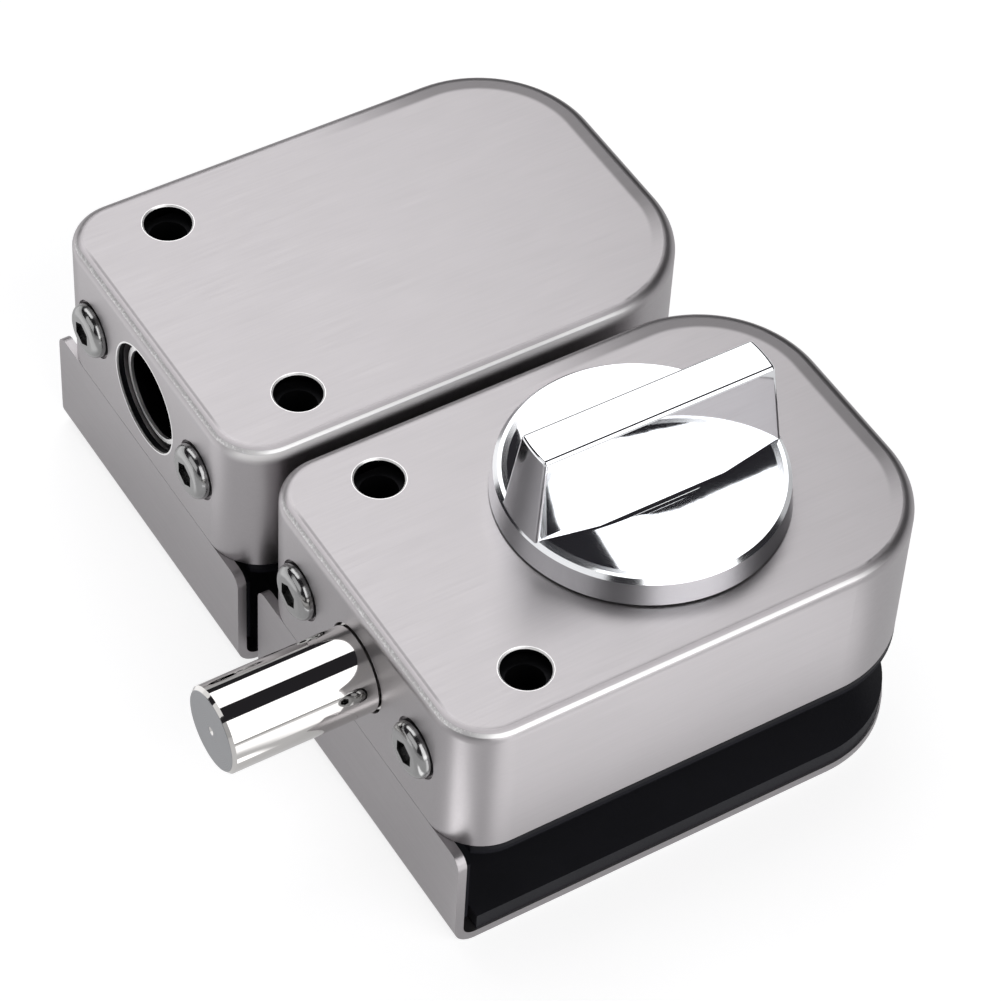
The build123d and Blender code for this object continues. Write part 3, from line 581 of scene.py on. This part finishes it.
class GLASSLOCK_OT_covers(bpy.types.Operator):
    """Brushed steel covers of both halves"""

    bl_idname = "glasslock.covers"
    bl_label = "Covers"

    def execute(self, context):
        look = context.scene.glass_lock_finishes
        for half in ("lock", "receiver"):
            low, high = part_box(f"{half}_clamp_screws")
            side = (low.x + high.x) / 2
            inset = (high.x - low.x) / 2
            holes = [(side, low.y + inset), (side, high.y - inset)]
            shaded = half == "receiver"
            bore = (STRIKE_MIDDLE, STRIKE_HOLE) if shaded else None
            marks = {"box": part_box(f"{half}_cover"), "holes": holes, "bore": bore, "shaded": shaded}
            dress([f"{half}_cover"], satin_steel(f"satin_{half}_cover", look, cover=marks))
        return {"FINISHED"}


class GLASSLOCK_OT_brackets(bpy.types.Operator):
    """Bent clamp brackets of both halves"""

    bl_idname = "glasslock.brackets"
    bl_label = "Brackets"

    def execute(self, context):
        look = context.scene.glass_lock_finishes
        dress(both("bracket"), satin_steel("satin_bracket", look, brush=(1, 0.03, 1)))
        return {"FINISHED"}


class GLASSLOCK_OT_turn(bpy.types.Operator):
    """Plated thumb turn, and the nylon washer under it"""

    bl_idname = "glasslock.turn"
    bl_label = "Thumb turn"

    def execute(self, context):
        look = context.scene.glass_lock_finishes
        rim = (KNOB_MIDDLE, KNOB_RIM)
        dress(["thumb_turn"], chrome("turn_chrome", look, look.chrome_colour, rim=rim))
        dress(["knob_washer"], nylon("washer_nylon", shade(look.black_colour, WASHER_SHADE)))
        return {"FINISHED"}


class GLASSLOCK_OT_bolt(bpy.types.Operator):
    """Plated bolt and the lined strike hole"""

    bl_idname = "glasslock.bolt"
    bl_label = "Bolt and strike"

    def execute(self, context):
        look = context.scene.glass_lock_finishes
        dress(["bolt"], chrome("bolt_chrome", look, look.bolt_colour, roughness=0.03, bare=BOLT_END))
        dress(["strike_bush"], strike_chrome("strike_chrome", look))
        return {"FINISHED"}


class GLASSLOCK_OT_screws(bpy.types.Operator):
    """Button screws in the end faces, set screws and countersunk screws"""

    bl_idname = "glasslock.screws"
    bl_label = "Screws"

    def execute(self, context):
        look = context.scene.glass_lock_finishes
        dress(both("cover_screws"), machined_steel("screw_polished", look, roughness=0.13, share=0.72))
        dress(both("clamp_screws"), black_steel("screw_black", look))
        dress(both("base_screws"), machined_steel("screw_steel", look))
        return {"FINISHED"}


class GLASSLOCK_OT_pads(bpy.types.Operator):
    """Rubber pads and the pressure plates that grip the glass"""

    bl_idname = "glasslock.pads"
    bl_label = "Glass clamp"

    def execute(self, context):
        look = context.scene.glass_lock_finishes
        dress(both("back_pad"), rubber("pad_rubber", look))
        dress(both("edge_pad", "pressure_pad"), rubber("pressure_rubber", look, shine=0.05))
        dress(both("pressure_plate"), black_steel("plate_black", look))
        return {"FINISHED"}


class GLASSLOCK_OT_mechanism(bpy.types.Operator):
    """Pieces inside the covers"""

    bl_idname = "glasslock.mechanism"
    bl_label = "Mechanism"

    def execute(self, context):
        look = context.scene.glass_lock_finishes
        dress(both("clamp_block"), cast_zinc("block_zinc", look))
        dress(["bolt_bush", "pivot_bush", "spindle_bush"], turned_brass("bush_brass", look))
        dress(["slide_rail_left", "slide_rail_right"], nylon("rail_nylon", look.nylon_colour))
        steel = machined_steel("machined_steel", look)
        dress(both("base_plate"), steel)
        dress(["bolt_pin", "slide_plate", "rack_bar", "rack_rivets", "drive_pinion", "spindle",
               "spindle_clip", "disc_spring"], steel)
        return {"FINISHED"}


def softbox(name, stage, brightness, spread, lean=0.0, aside=0.0):
    """Softbox over the lock, turned about it towards the viewer (lean) or the bolt's side (aside).

    The angles are in degrees, and spread is half of what the softbox fills.
    """
    reach = stage.lamp_distance
    lamp = bpy.data.lights.new(name, "AREA")
    lamp.shape = "RECTANGLE"
    lamp.size = stage.lamp_width
    lamp.size_y = 2 * reach * math.tan(math.radians(spread))
    lamp.energy = brightness * math.pi * lamp.size * lamp.size_y
    box = bpy.data.objects.new(name, lamp)
    bpy.context.scene.collection.objects.link(box)
    turned = Matrix.Rotation(math.radians(lean), 4, "X")
    if aside:
        turned = Matrix.Rotation(-math.radians(aside), 4, "Y") @ Matrix.Rotation(math.pi / 2, 4, "Z")
    middle = Matrix.Translation((0 if aside else stage.lamp_shift, 0, stage.target[2]))
    box.matrix_world = middle @ turned @ Matrix.Translation((0, 0, reach))
    box.visible_camera = False


def stage_camera(stage):
    """Camera on the photo's side of the lock."""
    camera = bpy.data.objects.new("photo_camera", bpy.data.cameras.new("photo_camera"))
    bpy.context.scene.collection.objects.link(camera)
    camera.data.lens = stage.lens
    camera.data.clip_end = 10
    across, tilt = stage.azimuth, stage.elevation
    level = math.cos(tilt)
    back = Vector((math.sin(across) * level, -math.cos(across) * level, math.sin(tilt)))
    right = (-back).cross(Vector((0, 0, 1))).normalized()
    upward = right.cross(-back)
    turned = Matrix.Rotation(stage.roll, 3, back)
    axes = Matrix((turned @ right, turned @ upward, back)).transposed()
    place = Vector(stage.target) + back * stage.distance
    camera.matrix_world = Matrix.Translation(place) @ axes.to_4x4()
    bpy.context.scene.camera = camera


# Paper of the floor, and patches of it that glow only where the steel mirrors them, as painted
# reflection. A pair is where a patch is nil and where it is full, in metres: from the box of the whole
# lock for FRONT and END_ASIDE, from the middle line for END_BACK, and from the near corner of the lock
# half's cover for CORNER
FIBRE, FIBRE_SHADE = 0.004, 0.985
FRONT_START, FRONT_STOP, FRONT_AHEAD = (0.020, 0.032), (0.02, 0.0), (0.012, 0.022)
END_ASIDE, END_BACK = (0.01, -0.01), (0.01, 0.03)
CORNER_START, CORNER_STOP = (0.004, 0.010), (0.050, 0.044)
CORNER_FRONT, CORNER_BACK = (-0.013, -0.009), (0.006, 0.002)


def floor_paper(stage):
    """Pale paper that glows where the camera sees it and where the steel mirrors it."""
    finish = Finish("floor_paper", **{"Roughness": 0.9, "Specular IOR Level": 0.1})
    fibre = finish.noise(FIBRE, detail=3.0)
    finish.feed("Base Color", finish.mix(
        fibre, shade(stage.floor_colour, FIBRE_SHADE), stage.floor_colour))
    low, high = CAD_BOX
    wall, near_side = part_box("lock_cover")[0].x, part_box("lock_cover")[0].y
    across, along = finish.axis("X"), finish.axis("Y")
    front = finish.between(across - low.x, *FRONT_START) * finish.between(across - high.x, *FRONT_STOP)
    front = front * finish.between(low.y - along, *FRONT_AHEAD)
    end = finish.between(across - low.x, *END_ASIDE) * finish.between(along, *END_BACK)
    corner = finish.zone(wall - across, CORNER_START, CORNER_STOP)
    corner = corner * finish.zone(along - near_side, CORNER_FRONT, CORNER_BACK)
    # Painted reflection: patches that glow only for mirrored rays, so the near side, the receiver's end
    # and the near corner reflect brighter
    patches = stage.front_glow_patch * front + stage.end_glow_patch * end + stage.corner_glow_patch * corner
    light = finish.node("ShaderNodeLightPath", {}, {})
    seen = Signal(finish, light.outputs["Is Camera Ray"]) * stage.floor_glow
    mirrored = Signal(finish, light.outputs["Is Glossy Ray"]) * (stage.floor_mirrored + patches)
    glow = finish.node("ShaderNodeEmission", {}, {"Strength": seen + mirrored})
    glowing_paper = finish.node("ShaderNodeAddShader", {}, {
        0: Signal(finish, finish.surface.outputs[0]), 1: Signal(finish, glow.outputs[0])})
    finish.tree.links.new(glowing_paper.outputs[0], finish.output.inputs["Surface"])
    return finish.material


def stage_floor(stage):
    """Floor with a paper backdrop standing round it."""
    mesh = bpy.data.meshes.new("floor")
    shape = bmesh.new()
    bmesh.ops.create_grid(shape, x_segments=1, y_segments=1, size=stage.floor_size / 2)
    walls = bmesh.ops.extrude_edge_only(shape, edges=shape.edges[:])
    risen = [part for part in walls["geom"] if isinstance(part, bmesh.types.BMVert)]
    bmesh.ops.translate(shape, verts=risen, vec=(0, 0, stage.wall_height))
    shape.to_mesh(mesh)
    shape.free()
    floor = bpy.data.objects.new("floor", mesh)
    bpy.context.scene.collection.objects.link(floor)
    mesh.materials.append(floor_paper(stage))


class GLASSLOCK_OT_stage(bpy.types.Operator):
    """Floor, lamps, surroundings and camera"""

    bl_idname = "glasslock.stage"
    bl_label = "Stage"

    def execute(self, context):
        stage = context.scene.glass_lock_stage
        stage_camera(stage)
        stage_floor(stage)
        world = bpy.data.worlds.new("studio")
        context.scene.world = world
        world.use_nodes = True
        room = world.node_tree.nodes["Background"]
        room.inputs["Color"].default_value = (*stage.room_colour, 1)
        softbox("back_softbox", stage, stage.back_light, spread=26, lean=-31)
        softbox("front_softbox", stage, stage.front_light, spread=28, lean=58.5)
        softbox("side_softbox", stage, stage.side_light, spread=18, aside=52)
        context.scene.view_settings.view_transform = "Standard"
        return {"FINISHED"}


class GLASSLOCK_PT_panel(bpy.types.Panel):
    """Buttons for each piece of the lock"""

    bl_idname = "GLASSLOCK_PT_panel"
    bl_label = "Glass door lock"
    bl_space_type = "VIEW_3D"
    bl_region_type = "UI"
    bl_category = "Glass Lock"

    def draw(self, context):
        for operator in OPERATORS:
            self.layout.operator(operator.bl_idname)
        for group in (context.scene.glass_lock_finishes, context.scene.glass_lock_stage):
            for name in group.__annotations__:
                self.layout.prop(group, name)


OPERATORS = (
    GLASSLOCK_OT_covers,
    GLASSLOCK_OT_brackets,
    GLASSLOCK_OT_turn,
    GLASSLOCK_OT_bolt,
    GLASSLOCK_OT_screws,
    GLASSLOCK_OT_pads,
    GLASSLOCK_OT_mechanism,
    GLASSLOCK_OT_stage,
)
CLASSES = (GlassLockFinishes, GlassLockStage, *OPERATORS, GLASSLOCK_PT_panel)


def register():
    for piece in CLASSES:
        bpy.utils.register_class(piece)
    bpy.types.Scene.glass_lock_finishes = PointerProperty(type=GlassLockFinishes)
    bpy.types.Scene.glass_lock_stage = PointerProperty(type=GlassLockStage)


def unregister():
    del bpy.types.Scene.glass_lock_stage
    del bpy.types.Scene.glass_lock_finishes
    for piece in reversed(CLASSES):
        bpy.utils.unregister_class(piece)


def main():
    register()
    for operator in OPERATORS:
        group, name = operator.bl_idname.split(".")
        getattr(getattr(bpy.ops, group), name)()


if __name__ == "__main__":
    main()
